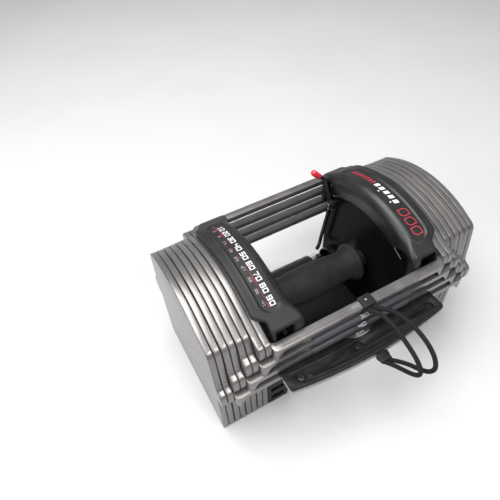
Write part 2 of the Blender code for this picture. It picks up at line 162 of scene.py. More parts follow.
def make_studio():
    """A pale floor, a pale surround and three soft boxes, shown without a film curve."""
    bpy.context.scene.view_settings.view_transform = "Standard"
    world = bpy.data.worlds.new("studio")
    world.use_nodes = True
    world.node_tree.nodes["Background"].inputs["Color"].default_value = (0.97, 0.98, 1.0, 1.0)
    world.node_tree.nodes["Background"].inputs["Strength"].default_value = 0.36
    bpy.context.scene.world = world
    make_light("key", (-350, 150, 1500), (1.5, 1.2), 38.0)
    make_light("left_fill", (-1250, -250, 700), (0.9, 0.9), 8.0)
    make_light("front_fill", (250, -1000, 1250), (0.7, 0.2), 9.0)
    bm = bmesh.new()
    bmesh.ops.create_grid(bm, x_segments=8, y_segments=8, size=3.0)
    floor = bpy.data.objects.new("floor", bpy.data.meshes.new("floor"))
    bm.to_mesh(floor.data)
    bm.free()
    bpy.context.scene.collection.objects.link(floor)
    floor.data.materials.append(surface("floor_white", (0.52, 0.52, 0.525), (0.535, 0.535, 0.54), 0.7,
                                        tone_scale=6.0, grain_scale=1500.0, bump=0.0))


# -------- materials

GLOSS_SPREAD = 0.06     # how far the roughness wanders either way


def link(tree, start, end):
    """Join two sockets."""
    tree.links.new(start, end)


def noise_node(tree, vector, scale, detail=3.0, rough=0.55, stretch=(1.0, 1.0, 1.0)):
    """A noise texture over object coordinates, its scale in cells a metre."""
    mapping = tree.nodes.new("ShaderNodeMapping")
    mapping.inputs["Scale"].default_value = stretch
    link(tree, vector, mapping.inputs["Vector"])
    noise = tree.nodes.new("ShaderNodeTexNoise")
    noise.inputs["Scale"].default_value = scale
    noise.inputs["Detail"].default_value = detail
    noise.inputs["Roughness"].default_value = rough
    link(tree, mapping.outputs["Vector"], noise.inputs["Vector"])
    return noise.outputs["Fac"]


def ramp(tree, value, low, high, start, end):
    """Map a value from low..high to start..end, clamped."""
    node = tree.nodes.new("ShaderNodeMapRange")
    node.inputs["From Min"].default_value = low
    node.inputs["From Max"].default_value = high
    node.inputs["To Min"].default_value = start
    node.inputs["To Max"].default_value = end
    link(tree, value, node.inputs["Value"])
    return node.outputs["Result"]


def mix_color(tree, factor, first, second):
    """Blend two colours, each a colour or a socket."""
    node = tree.nodes.new("ShaderNodeMix")
    node.data_type = "RGBA"
    link(tree, factor, node.inputs["Factor"])
    for socket, value in ((node.inputs[6], first), (node.inputs[7], second)):
        if isinstance(value, tuple):
            socket.default_value = (*value, 1.0)
        else:
            link(tree, value, socket)
    return node.outputs[2]


def surface(name, dark, light, roughness, metallic=0.0, tone_scale=60.0, grain_scale=2600.0, bump=0.2,
            depth=0.0001, stretch=(1.0, 1.0, 1.0), cells=None, coat=0.0, speck=None, gloss=0.5):
    """A surface with slow tone changes, fine grain in colour and relief, and uneven gloss."""
    material = bpy.data.materials.new(name)
    material.use_nodes = True
    tree = material.node_tree
    shader = tree.nodes["Principled BSDF"]
    vector = tree.nodes.new("ShaderNodeTexCoord").outputs["Object"]
    tone = noise_node(tree, vector, tone_scale, 4.0, 0.6, stretch)
    grain = noise_node(tree, vector, grain_scale, 2.0, 0.5, stretch)
    color = mix_color(tree, ramp(tree, tone, 0.35, 0.65, 0.0, 1.0), dark, light)
    worn = tuple(min(1.0, c * 1.35 + 0.004) for c in light)
    color = mix_color(tree, ramp(tree, grain, 0.5, 0.8, 0.0, 0.55), color, worn)
    if speck:
        dots = noise_node(tree, vector, speck[0], 1.0, 0.4)
        color = mix_color(tree, ramp(tree, dots, speck[1], speck[1] + 0.04, 0.0, 0.8), color, speck[2])
    link(tree, color, shader.inputs["Base Color"])
    rough = ramp(tree, tone, 0.3, 0.7, max(0.04, roughness - GLOSS_SPREAD), roughness + GLOSS_SPREAD)
    link(tree, rough, shader.inputs["Roughness"])
    shader.inputs["Metallic"].default_value = metallic
    shader.inputs["Specular IOR Level"].default_value = gloss
    shader.inputs["Coat Weight"].default_value = coat
    shader.inputs["Coat Roughness"].default_value = 0.12
    if bump > 0.0:
        relief = grain
        if cells:
            voronoi = tree.nodes.new("ShaderNodeTexVoronoi")
            voronoi.feature = "SMOOTH_F1"
            voronoi.inputs["Scale"].default_value = cells
            link(tree, vector, voronoi.inputs["Vector"])
            add = tree.nodes.new("ShaderNodeMath")
            add.operation = "MULTIPLY_ADD"
            add.inputs[1].default_value = 0.35
            link(tree, grain, add.inputs[0])
            link(tree, voronoi.outputs["Distance"], add.inputs[2])
            relief = add.outputs["Value"]
        node = tree.nodes.new("ShaderNodeBump")
        node.inputs["Strength"].default_value = bump
        node.inputs["Distance"].default_value = depth
        link(tree, relief, node.inputs["Height"])
        link(tree, node.outputs["Normal"], shader.inputs["Normal"])
    return material


def ink(name, dark, light, tone_scale):
    """A thin printed layer."""
    return surface(name, dark, light, 0.5, tone_scale=tone_scale, grain_scale=4000.0, bump=0.1, depth=0.00003)


def braid(name, dark, light):
    """Braided elastic: two sets of yarns that cross, from the tube's own coordinates."""
    material = bpy.data.materials.new(name)
    material.use_nodes = True
    tree = material.node_tree
    shader = tree.nodes["Principled BSDF"]
    split = tree.nodes.new("ShaderNodeSeparateXYZ")
    link(tree, tree.nodes.new("ShaderNodeTexCoord").outputs["UV"], split.inputs["Vector"])

    def math_node(operation, first, second):
        node = tree.nodes.new("ShaderNodeMath")
        node.operation = operation
        for socket, value in zip(node.inputs, (first, second)):
            if isinstance(value, float):
                socket.default_value = value
            elif value is not None:
                link(tree, value, socket)
        return node.outputs["Value"]

    around = math_node("MULTIPLY", split.outputs["X"], 12.0 * math.pi)
    along = math_node("MULTIPLY", split.outputs["Y"], 14.0 * math.pi)
    right = math_node("SINE", math_node("ADD", around, along), None)
    left = math_node("SINE", math_node("SUBTRACT", around, along), None)
    weave = math_node("MAXIMUM", right, left)
    color = mix_color(tree, ramp(tree, weave, -0.2, 1.0, 0.0, 1.0), dark, light)
    vector = tree.nodes.new("ShaderNodeTexCoord").outputs["Object"]
    fuzz = noise_node(tree, vector, 4000.0)
    color = mix_color(tree, ramp(tree, fuzz, 0.5, 0.9, 0.0, 0.5), color, light)
    link(tree, color, shader.inputs["Base Color"])
    link(tree, ramp(tree, fuzz, 0.2, 0.8, 0.6, 0.85), shader.inputs["Roughness"])
    shader.inputs["Specular IOR Level"].default_value = 0.2
    node = tree.nodes.new("ShaderNodeBump")
    node.inputs["Strength"].default_value = 0.6
    node.inputs["Distance"].default_value = 0.0003
    link(tree, weave, node.inputs["Height"])
    link(tree, node.outputs["Normal"], shader.inputs["Normal"])
    return material


PAINT = surface("weight_paint", (0.190, 0.181, 0.176), (0.235, 0.225, 0.219), 0.31, 0.72, tone_scale=45.0,
                bump=0.16, depth=0.00006, stretch=(1.0, 0.25, 0.25),
                speck=(900.0, 0.74, (0.30, 0.29, 0.28)))
# The plates' rounded edge strips: a darker copy of the plate paint, as painted shade in the narrow seams
# between plates.
PAINT_SEAM_SHADE = surface("weight_edge", (0.10, 0.095, 0.092), (0.16, 0.153, 0.148), 0.3, 0.62, tone_scale=70.0,
                     grain_scale=1800.0, bump=0.12, depth=0.00005)
SLEEVE = surface("sleeve_plastic", (0.040, 0.038, 0.045), (0.060, 0.057, 0.066), 0.4, 0.0, tone_scale=80.0,
                 grain_scale=3000.0, bump=0.15, depth=0.00005, stretch=(0.2, 1.0, 1.0), coat=0.1, gloss=0.4)
WALL = surface("wall_plastic", (0.005, 0.005, 0.006), (0.010, 0.010, 0.011), 0.5, grain_scale=2200.0,
               bump=0.3, depth=0.00008, gloss=0.25)
PANEL = surface("panel_gloss", (0.003, 0.003, 0.004), (0.006, 0.006, 0.007), 0.26, tone_scale=25.0,
                bump=0.03, depth=0.00003, gloss=0.03)
COVER = surface("cover_plastic", (0.011, 0.011, 0.011), (0.018, 0.018, 0.0175), 0.48, tone_scale=70.0,
                grain_scale=2800.0, bump=0.35, depth=0.00012, cells=1300.0, gloss=0.3)
# The right cover: the left cover's plastic in a darker colour, which is painted shade, and with lower
# roughness.
COVER_SHADED = surface("cover_plastic_dark", (0.008, 0.008, 0.008), (0.013, 0.013, 0.0125), 0.37,
                     tone_scale=70.0, grain_scale=2800.0, bump=0.3, depth=0.0001, cells=1300.0, gloss=0.45)
# The panel's top-edge bead: the panel's black plastic in a lighter colour, a painted highlight, with a real
# glossy coat.
BEAD_PAINTED_HIGHLIGHT = surface("panel_bead", (0.02, 0.02, 0.021), (0.035, 0.035, 0.037), 0.14, tone_scale=60.0,
               bump=0.03, depth=0.00003, coat=1.0)
STEEL_BLACK = surface("black_steel", (0.005, 0.005, 0.006), (0.010, 0.010, 0.011), 0.36, 0.0,
                      grain_scale=1900.0, bump=0.3, depth=0.00008, gloss=0.35)
RUBBER = surface("grip_rubber", (0.010, 0.0097, 0.0097), (0.018, 0.0175, 0.0175), 0.62, tone_scale=55.0,
                 grain_scale=2400.0, bump=0.45, depth=0.00015, cells=900.0, gloss=0.15)
CHROME = surface("chrome", (0.62, 0.62, 0.63), (0.72, 0.72, 0.73), 0.16, 1.0, tone_scale=40.0,
                 grain_scale=3000.0, bump=0.08, depth=0.00003, stretch=(0.1, 1.0, 1.0))
RED = surface("red_plastic", (0.52, 0.018, 0.03), (0.62, 0.028, 0.042), 0.24, tone_scale=90.0,
              grain_scale=1600.0, bump=0.08, depth=0.00005, coat=0.4)
ZINC = surface("zinc_steel", (0.20, 0.20, 0.20), (0.30, 0.30, 0.29), 0.3, 1.0, tone_scale=300.0,
               grain_scale=3000.0, bump=0.1, depth=0.00004)
STEEL_GREY = surface("grey_steel", (0.22, 0.22, 0.23), (0.31, 0.31, 0.32), 0.28, 1.0, tone_scale=120.0,
                     grain_scale=3200.0, bump=0.12, depth=0.00004, stretch=(1.0, 0.08, 1.0))
PIN = surface("pin_plastic", (0.009, 0.0095, 0.0095), (0.016, 0.016, 0.016), 0.5, tone_scale=90.0,
              grain_scale=2500.0, bump=0.5, depth=0.00015, cells=1500.0, gloss=0.22)
PIN_GREY = surface("pin_grey", (0.23, 0.23, 0.235), (0.31, 0.31, 0.315), 0.42, tone_scale=90.0,
                   grain_scale=2500.0, bump=0.3, depth=0.0001, gloss=0.4)
PIN_MIDDLE = surface("pin_middle", (0.055, 0.055, 0.057), (0.08, 0.08, 0.082), 0.42, tone_scale=90.0,
                     grain_scale=2500.0, bump=0.3, depth=0.0001, gloss=0.4)
SCREW = surface("dark_screw", (0.03, 0.03, 0.032), (0.06, 0.06, 0.064), 0.25, 0.8, tone_scale=350.0,
                grain_scale=3500.0, bump=0.12, depth=0.00004)
HITCH = surface("cord_hitch_wrap", (0.005, 0.005, 0.006), (0.010, 0.010, 0.011), 0.6, tone_scale=200.0,
                grain_scale=1800.0, bump=0.5, depth=0.0002, stretch=(1.0, 6.0, 1.0), gloss=0.3)
LABEL = surface("notch_label", (0.25, 0.25, 0.24), (0.33, 0.33, 0.315), 0.45, tone_scale=300.0,
                bump=0.15, depth=0.00004)
CORD = braid("cord_braid", (0.004, 0.004, 0.0045), (0.013, 0.013, 0.014))
WHITE_INK = ink("white_ink", (0.52, 0.52, 0.52), (0.62, 0.62, 0.62), 400.0)
GREY_INK = ink("grey_ink", (0.15, 0.155, 0.16), (0.23, 0.235, 0.24), 500.0)
RED_INK = ink("red_ink", (0.28, 0.014, 0.03), (0.40, 0.024, 0.045), 400.0)


# -------- mesh helpers

def shade(mesh, angle):
    """Shade smoothly, but keep the edges sharper than an angle in degrees."""
    mesh.shade_smooth()
    mesh.set_sharp_from_angle(angle=math.radians(angle))


def make_object(name, bm, material):
    """Turn a bmesh in millimetres into an object in the frame."""
    bmesh.ops.remove_doubles(bm, verts=bm.verts, dist=1e-4)
    bmesh.ops.recalc_face_normals(bm, faces=bm.faces)
    for vert in bm.verts:
        vert.co = to_frame(vert.co)
    mesh = bpy.data.meshes.new(name)
    bm.to_mesh(mesh)
    bm.free()
    made = bpy.data.objects.new(name, mesh)
    bpy.context.scene.collection.objects.link(made)
    mesh.materials.append(material)
    return made


def finish_piece(name, bm, material, body="root", slot=None, smooth=True, angle=35.0):
    """A piece that rides on a body. The slot argument is not used: no slot is given to the piece."""
    piece = make_object(name, bm, material)
    if smooth:
        shade(piece.data, angle)
    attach(piece, body)
    slot or material.name.split(".")[0]
    return piece


def stand_in(node, bm, material, body="root", slot=None, smooth=True, angle=35.0):
    """A detailed piece that stands for a CAD node."""
    piece = finish_piece(node + "_fine", bm, material, body, slot, smooth, angle)
    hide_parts(node)
    return piece


def apply_modifiers(piece):
    """Fix a piece's modifiers in its mesh."""
    bpy.context.view_layer.update()
    graph = bpy.context.evaluated_depsgraph_get()
    mesh = bpy.data.meshes.new_from_object(piece.evaluated_get(graph), depsgraph=graph)
    old = piece.data
    piece.modifiers.clear()
    piece.data = mesh
    mesh.name = old.name
    bpy.data.meshes.remove(old)


def cut(piece, bm, operation="DIFFERENCE"):
    """Cut a piece with a bmesh, or join or intersect the two."""
    tool = make_object("tool", bm, WALL)
    modifier = piece.modifiers.new("Boolean", "BOOLEAN")
    modifier.operation = operation
    modifier.solver = "EXACT"
    modifier.object = tool
    apply_modifiers(piece)
    bpy.data.objects.remove(tool, do_unlink=True)


def add_bevel(piece, width, segments=2, angle=40.0):
    """A bevel on the edges sharper than an angle in degrees, its width in millimetres."""
    bevel = piece.modifiers.new("Bevel", "BEVEL")
    bevel.width = width * MM
    bevel.segments = segments
    bevel.limit_method = "ANGLE"
    bevel.angle_limit = math.radians(angle)
    return bevel


def round_edges(piece, width, segments=3, angle=50.0, edge_material=None):
    """Round the sharp edges, with the rounded strip in its own material when one is given."""
    bevel = add_bevel(piece, width, segments, angle)
    if edge_material:
        piece.data.materials.append(edge_material)
        bevel.material = 1
    weighted = piece.modifiers.new("Normals", "WEIGHTED_NORMAL")
    weighted.keep_sharp = True
    apply_modifiers(piece)
    piece.data.shade_smooth()


AXES = {"x": (1, 2, 0), "y": (0, 2, 1), "z": (0, 1, 2)}


def prism(outline, axis, low, high):
    """A flat outline drawn out along an axis, as a bmesh."""
    first, second, along = AXES[axis]
    bm = bmesh.new()
    ring = []
    for point in outline:
        place = [0.0, 0.0, 0.0]
        place[first], place[second], place[along] = point[0], point[1], low
        ring.append(bm.verts.new(place))
    face = bm.faces.new(ring)
    made = bmesh.ops.extrude_face_region(bm, geom=[face])
    move = [0.0, 0.0, 0.0]
    move[along] = high - low
    bmesh.ops.translate(bm, vec=move, verts=[v for v in made["geom"] if isinstance(v, bmesh.types.BMVert)])
    return bm


def wrap(bm, place):
    """Lay a flat bmesh on a surface; place(u, v, h) gives the point at (u, v) and at height h over it."""
    for vert in bm.verts:
        vert.co = place(*vert.co)
    return bm


def block(low, high):
    """A box between two corners, as a bmesh, for cutting or for rounding."""
    low, high = Vector(low), Vector(high)
    bm = bmesh.new()
    bmesh.ops.create_cube(bm, size=1.0)
    bmesh.ops.scale(bm, vec=high - low, verts=bm.verts)
    bmesh.ops.translate(bm, vec=(low + high) / 2, verts=bm.verts)
    return bm


def skin(rings, closed=False):
    """Join rings of points, each a closed loop, into a skin: capped, or closed from the last to the first."""
    bm = bmesh.new()
    loops = [[bm.verts.new(p) for p in ring] for ring in rings]
    pairs = list(zip(loops, loops[1:] + loops[:1]))
    if not closed:
        pairs.pop()
    for a, b in pairs:
        for i in range(len(a)):
            j = (i + 1) % len(a)
            bm.faces.new((a[i], a[j], b[j], b[i]))
    if not closed:
        bm.faces.new(loops[0])
        bm.faces.new(loops[-1])
    return bm


def circle(centre, side, other, radius, steps):
    """Points round a centre, in the plane of two unit vectors."""
    return [centre + (side * math.cos(a) + other * math.sin(a)) * radius
            for a in (math.tau * i / steps for i in range(steps))]


def turned(profile, start, direction, steps=40, bore=False):
    """Turn a profile of (distance along, radius) about a line. A bored profile is a closed loop."""
    start, direction = Vector(start), Vector(direction).normalized()
    side = direction.orthogonal().normalized()
    other = direction.cross(side)
    rings = [circle(start + direction * place, side, other, radius, steps) for place, radius in profile]
    return skin(rings, closed=bore)


def tube(points, radius, sides=20):
    """A round rod along points, with frames carried along it and UVs round and along it."""
    points = [Vector(p) for p in points]
    count = len(points)
    ahead = [(points[min(i + 1, count - 1)] - points[max(i - 1, 0)]).normalized() for i in range(count)]
    side = ahead[0].orthogonal().normalized()
    rings = []
    for point, direction in zip(points, ahead):
        side = (side - direction * side.dot(direction)).normalized()
        rings.append(circle(point, side, direction.cross(side), radius, sides))
    bm = bmesh.new()
    layer = bm.loops.layers.uv.new("UVMap")
    loops = [[bm.verts.new(p) for p in ring] for ring in rings]
    along = 0.0
    girth = math.tau * radius
    for i in range(count - 1):
        step = (points[i + 1] - points[i]).length
        for k in range(sides):
            j = (k + 1) % sides
            face = bm.faces.new((loops[i][k], loops[i][j], loops[i + 1][j], loops[i + 1][k]))
            corners = ((k, along), (k + 1, along), (k + 1, along + step), (k, along + step))
            for loop, (turn, length) in zip(face.loops, corners):
                loop[layer].uv = (turn / sides, length / girth)
        along += step
    bm.faces.new(loops[0])
    bm.faces.new(loops[-1])
    return bm


def rounded(corners, steps=6):
    """A closed outline whose corners (a, b, radius) are rounded with arcs."""
    points = []
    count = len(corners)
    for index, (a, b, radius) in enumerate(corners):
        here = Vector((a, b))
        if radius <= 0:
            points.append(here)
            continue
        back = Vector(corners[index - 1][:2]) - here
        ahead = Vector(corners[(index + 1) % count][:2]) - here
        angle = back.angle(ahead)
        reach = min(radius / math.tan(angle / 2), back.length * 0.49, ahead.length * 0.49)
        radius = reach * math.tan(angle / 2)
        start = here + back.normalized() * reach
        end = here + ahead.normalized() * reach
        middle = here + (back.normalized() + ahead.normalized()).normalized() * (radius / math.sin(angle / 2))
        sweep = (start - middle).angle_signed(end - middle)
        for step in range(steps + 1):
            points.append(middle + Matrix.Rotation(-sweep * step / steps, 2) @ (start - middle))
    return points


def arc(centre, radius, start, end, steps):
    """Points round a centre between two angles in degrees, both measured from the first axis."""
    turns = [math.radians(start + (end - start) * k / steps) for k in range(steps + 1)]
    return [(centre[0] + radius * math.cos(a), centre[1] + radius * math.sin(a)) for a in turns]


def arch_z(y, rise=0.0):
    """Height of the arch at y, offset outwards by rise."""
    return ARCH_CZ + math.sqrt((ARCH_R + rise) ** 2 - y * y)


def arch(half_width, rise=0.0, steps=48):
    """Arch points from +half_width to -half_width."""
    return [(y, arch_z(y, rise), 0.0)
            for y in (half_width * (1 - 2 * i / steps) for i in range(steps + 1))]


def both_sides(half, top):
    """A closed outline from the corners of its +Y side, bottom to top, and its arch."""
    return rounded(half + top + [(-y, z, r) for y, z, r in reversed(half)])


def smooth(points, per_span=6):
    """Points along a smooth curve through the given route (Catmull-Rom)."""
    route = [Vector(p) for p in points]
    route = [2 * route[0] - route[1]] + route + [2 * route[-1] - route[-2]]
    out = []
    for i in range(1, len(route) - 2):
        a, b, c, d = route[i - 1:i + 3]
        for k in range(per_span):
            t = k / per_span
            out.append(0.5 * (2 * b + (c - a) * t + (2 * a - 5 * b + 4 * c - d) * t ** 2
                              + (3 * b - a - 3 * c + d) * t ** 3))
    out.append(route[-2])
    return out


def ease(value, low, high):
    """Rise smoothly from 0 to 1 as value goes from low to high."""
    t = max(0.0, min(1.0, (value - low) / (high - low)))
    return t * t * (3 - 2 * t)


def blend(start, end, share):
    """A number between two others."""
    return start + (end - start) * share


# -------- printed marks

KG_PER_LB = 0.4536
INK_T = 0.12
INK_LIFT = 0.02
NUMBER_PITCH = 6.2      # from one numeral to the next, in cells

# Numerals on a grid five cells wide and five high
DIGITS = {
    "0": "11111/10001/10001/10001/11111", "1": "01100/00100/00100/00100/01110",
    "2": "11111/00001/11111/10000/11111", "3": "11111/00001/01111/00001/11111",
    "4": "10001/10001/11111/00001/00001", "5": "11111/10000/11111/00001/11111",
    "6": "11111/10000/11111/10001/11111", "7": "11111/00001/00010/00100/00100",
    "8": "11111/10001/11111/10001/11111", "9": "11111/10001/11111/00001/11111",
}


def number_mark(text, cell, place, tall=1.0):
    """A raised number laid on a surface, its grid cells this wide and tall times as high."""
    bm = bmesh.new()
    pitch = NUMBER_PITCH * cell
    width = pitch * len(text) - (NUMBER_PITCH - 5) * cell
    for position, digit in enumerate(text):
        u0 = position * pitch - width / 2
        for row, line in enumerate(DIGITS[digit].split("/")):
            for column, filled in enumerate(line):
                if filled == "0":
                    continue
                corners = ((column, row), (column + 1, row), (column + 1, row + 1), (column, row + 1))
                square = [(u0 + c * cell, (2.5 - r) * cell * tall, 0.0) for c, r in corners]
                bm.faces.new([bm.verts.new(point) for point in square])
    bmesh.ops.remove_doubles(bm, verts=bm.verts, dist=1e-5)
    made = bmesh.ops.extrude_face_region(bm, geom=bm.faces[:])
    bmesh.ops.translate(bm, vec=(0, 0, INK_T), verts=[v for v in made["geom"]
                                                      if isinstance(v, bmesh.types.BMVert)])
    posts = [e for e in bm.edges if abs(e.verts[0].co.z - e.verts[1].co.z) > INK_T / 2
             and len(e.link_faces) == 2 and e.calc_face_angle(0.0) > 1.0]
    bmesh.ops.bevel(bm, geom=posts, offset=cell * 0.42, segments=2, affect="EDGES", profile=0.5)
    return wrap(bm, place)


def strip_mark(outline, place):
    """A raised patch of any outline in the surface's own plane."""
    return wrap(prism(outline, "z", 0.0, INK_T), place)


def merge(bms):
    """Put several bmeshes in one."""
    whole = bmesh.new()
    for bm in bms:
        mesh = bpy.data.meshes.new("part")
        bm.to_mesh(mesh)
        bm.free()
        whole.from_mesh(mesh)
        bpy.data.meshes.remove(mesh)
    return whole


# -------- cords

STRANDS = {
    "cord_strand_1": [(0.8, -92.5, 133.0), (0.8, -95.0, 133.0), (3.4, -100.5, 134.2), (6.2, -109.0, 134.2),
                      (7.8, -118.6, 132.6), (8.4, -129.0, 129.4), (9.2, -140.0, 124.6),
                      (10.2, -149.6, 118.0), (10.8, -155.6, 110.6), (10.6, -156.8, 103.0),
                      (9.6, -152.0, 96.6), (8.0, -143.4, 91.6), (6.0, -134.4, 87.4), (3.6, -127.6, 84.4),
                      (2.4, -124.6, 83.5), (2.4, -122.0, 83.5)],
    "cord_strand_2": [(6.4, -92.5, 133.0), (6.4, -95.0, 133.0), (11.0, -100.0, 134.6), (16.2, -107.0, 135.2),
                      (20.4, -116.6, 134.0), (23.4, -127.6, 131.2), (25.2, -139.6, 127.0),
                      (25.8, -150.4, 121.0), (25.4, -157.6, 113.4), (24.2, -160.2, 105.4),
                      (22.2, -157.2, 98.4), (19.6, -150.0, 93.6), (16.8, -141.0, 90.0), (13.0, -132.6, 86.2),
                      (9.2, -127.0, 84.0), (8.0, -124.6, 83.5), (8.0, -122.0, 83.5)],
}


def make_cords():
    """The two strands of the elastic tether, which stretch between the top rail and the pin."""
    for name, route in STRANDS.items():
        path = smooth(route)
        piece = make_object(name + "_braid", tube(path, CORD_D / 2, 16), CORD)
        shade(piece.data, 35.0)
        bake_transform(piece)
        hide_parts(name)


make_camera()
make_cords()
make_studio()


# -------- weights

def plate_outline(top):
    """A plate's outline: straight base, ears at the rails, steep shoulders and a shallow arch."""
    ear = top - EAR_BELOW_RAIL
    tangent = -ARCH_END_Y / math.sqrt(ARCH_R ** 2 - ARCH_END_Y ** 2)
    shoulder_z = arch_z(ARCH_END_Y) + tangent * (SHOULDER_Y - ARCH_END_Y)
    half = [(BASE_Y, 0.0, 1.5), (BASE_Y, ear - 12.0, 4.0), (EAR_Y, ear - 8.5, 7.0), (EAR_Y, ear + 8.0, 7.0)]
    if ear + 13.0 < shoulder_z - 8.0:
        half.append((76.0, ear + 13.0, 7.0))
    half.append((SHOULDER_Y, shoulder_z, 11.0))
    return both_sides(half, arch(ARCH_END_Y))


def make_plates():
    """Sixteen plates with rounded edges, the rounded strips in a darker, less metallic paint: painted shade
    for the seams between plates.
    """
    for weight in WEIGHTS:
        top = node_box(f"rail_{weight}_front")[1].z
        outline = plate_outline(top)
        for side, _ in SIDES:
            for layer in ("inner", "outer"):
                node = f"plate_{weight}_{side}_{layer}"
                low, high = node_box(node)
                piece = stand_in(node, prism(outline, "x", low.x, high.x), PAINT, smooth=False)
                round_edges(piece, 0.75, 3, 40.0, PAINT_SEAM_SHADE)


def make_rails():
    """Eight rails, thin in the middle, with deep tabs that curve into the plates at both ends."""
    for weight in WEIGHTS:
        for place, way in ENDS:
            node = f"rail_{weight}_{place}"
            low, high = node_box(node)
            end, top, deep = high.x, high.z, low.z
            near, far = sorted((abs(low.y), abs(high.y)))
            half = [(end, top, 0.0), (end, deep, 0.0), (end - TAB_L + 3.0, deep, 1.5),
                    (end - TAB_L - 3.0, top - RAIL_T, 4.0)]
            front_view = rounded(half + [(-x, z, r) for x, z, r in reversed(half)])
            corner = far - EAR_Y
            half_plan = arc((end - corner, far - corner), corner, 90, 0, 6)
            half_plan.append((end, near - RAIL_FILLET - 0.4))
            half_plan += arc((end - RAIL_FILLET, near - RAIL_FILLET), RAIL_FILLET, 0, 90, 6)[1:]
            plan = [(x, way * y) for x, y in half_plan]
            plan += [(-x, way * y) for x, y in reversed(half_plan)]
            y0, y1 = sorted((way * (near - RAIL_FILLET - 2.0), way * (far + 2.0)))
            piece = stand_in(node, prism(front_view, "y", y0, y1), PAINT, smooth=False)
            cut(piece, prism(plan, "z", deep - 2.0, top + 2.0), "INTERSECT")
            if weight == "20":
                y0, y1 = sorted((way * (far - 2.1), way * (far - 2.5)))
                groove = block((-(end - 9.0), y0, top - 0.3), (end - 9.0, y1, top + 1.0))
                cut(piece, groove)
            round_edges(piece, 1.1)


def sleeve_section(low, high, grow):
    """The sleeve's section, as points (y, z) that run up its outer face and over its top."""
    return rounded([(low.y - grow, low.z - grow, 3.2), (low.y - grow, high.z + grow, 3.6),
                    (high.y + grow, high.z + grow, 2.4), (high.y + grow, low.z - grow, 2.4)])


def make_sleeves():
    """Moulded sleeves with rounded fronts, on the three lower front rails."""
    for weight in WEIGHTS[1:]:
        node = f"sleeve_{weight}_front"
        low, high = node_box(node)
        half = high.x
        steps = ((-half, -1.0), (-half, -0.4), (0.5 - half, 0.0), (half - 0.5, 0.0), (half, -0.4),
                 (half, -1.0))
        rings = [[(x, y, z) for y, z in sleeve_section(low, high, grow)] for x, grow in steps]
        stand_in(node, skin(rings, closed=True), SLEEVE)


def make_rail_numbers():
    """Each weight's number on the rounded front of its sleeve, or on the top rail itself."""
    slant = math.radians(45.0)
    radius = 3.6
    for weight in WEIGHTS:
        printed = weight == "20"
        low, high = node_box("rail_20_front" if printed else f"sleeve_{weight}_front")

        def on_rail(u, v, h):
            return Vector((-9.0 + u, low.y + 4.4 + v, high.z + h + INK_LIFT))

        def on_sleeve(u, v, h):
            turn = slant + v / radius
            reach = radius + h + INK_LIFT
            return Vector((u, low.y + radius - reach * math.cos(turn),
                           high.z - radius + reach * math.sin(turn)))

        mark = number_mark(weight, 0.8, on_rail if printed else on_sleeve)
        finish_piece(f"number_{weight}", mark, GREY_INK if printed else WHITE_INK, slot="sleeve_plastic")


make_plates()
make_rails()
make_sleeves()
make_rail_numbers()


# -------- covers

def cover_profile():
    """The cover's outer line as points (y, z) from back foot to front foot, evenly spaced."""
    half = [(COVER_FOOT_Y, COVER_FOOT_Z, 0.0), (COVER_FOOT_Y, 146.8, 10.0)]
    line = both_sides(half, arch(64.0, COVER_RISE, 60))
    spaced = [line[0]]
    for a, b in zip(line, line[1:]):
        parts = max(1, round((b - a).length / PROFILE_STEP))
        spaced += [a + (b - a) * k / parts for k in range(1, parts + 1)]
    return spaced


PROFILE = cover_profile()
NORMALS = []
for index in range(len(PROFILE)):
    run = PROFILE[min(index + 2, len(PROFILE) - 1)] - PROFILE[max(index - 2, 0)]
    NORMALS.append(Vector((run.y, -run.x)).normalized())
PLACES = [0.0]
for first, second in zip(PROFILE, PROFILE[1:]):
    PLACES.append(PLACES[-1] - (second - first).length)
APEX = PLACES[len(PLACES) // 2]
PLACES = [p - APEX for p in PLACES]


def on_profile(s, depth):
    """The point (y, z) at distance s from the apex, positive to the back, and depth under the surface."""
    for i in range(len(PLACES) - 1):
        if PLACES[i + 1] <= s:
            t = (PLACES[i] - s) / (PLACES[i] - PLACES[i + 1])
            point = PROFILE[i].lerp(PROFILE[i + 1], t)
            normal = NORMALS[i].lerp(NORMALS[i + 1], t)
            return point - normal * depth
    return PROFILE[-1]


def pocket_distance(x, s):
    """Distance from the pocket's edge, negative inside it."""
    radius = POCKET_HALF - 0.6
    across = abs(x - POCKET_X) - (POCKET_HALF - radius)
    middle = (POCKET_BACK + POCKET_FRONT) / 2
    along = abs(s - middle) - ((POCKET_BACK - POCKET_FRONT) / 2 - radius)
    outside = math.hypot(max(across, 0.0), max(along, 0.0))
    return outside + min(max(across, along), 0.0) - radius


def pocket_depth(x, s):
    """How far the top face sinks: a shallow pocket with a thin raised border."""
    gap = pocket_distance(x, s)
    return POCKET_DEPTH * ease(-gap, -0.5, 0.5) - 0.4 * math.exp(-((gap - 1.5) / 0.7) ** 2)


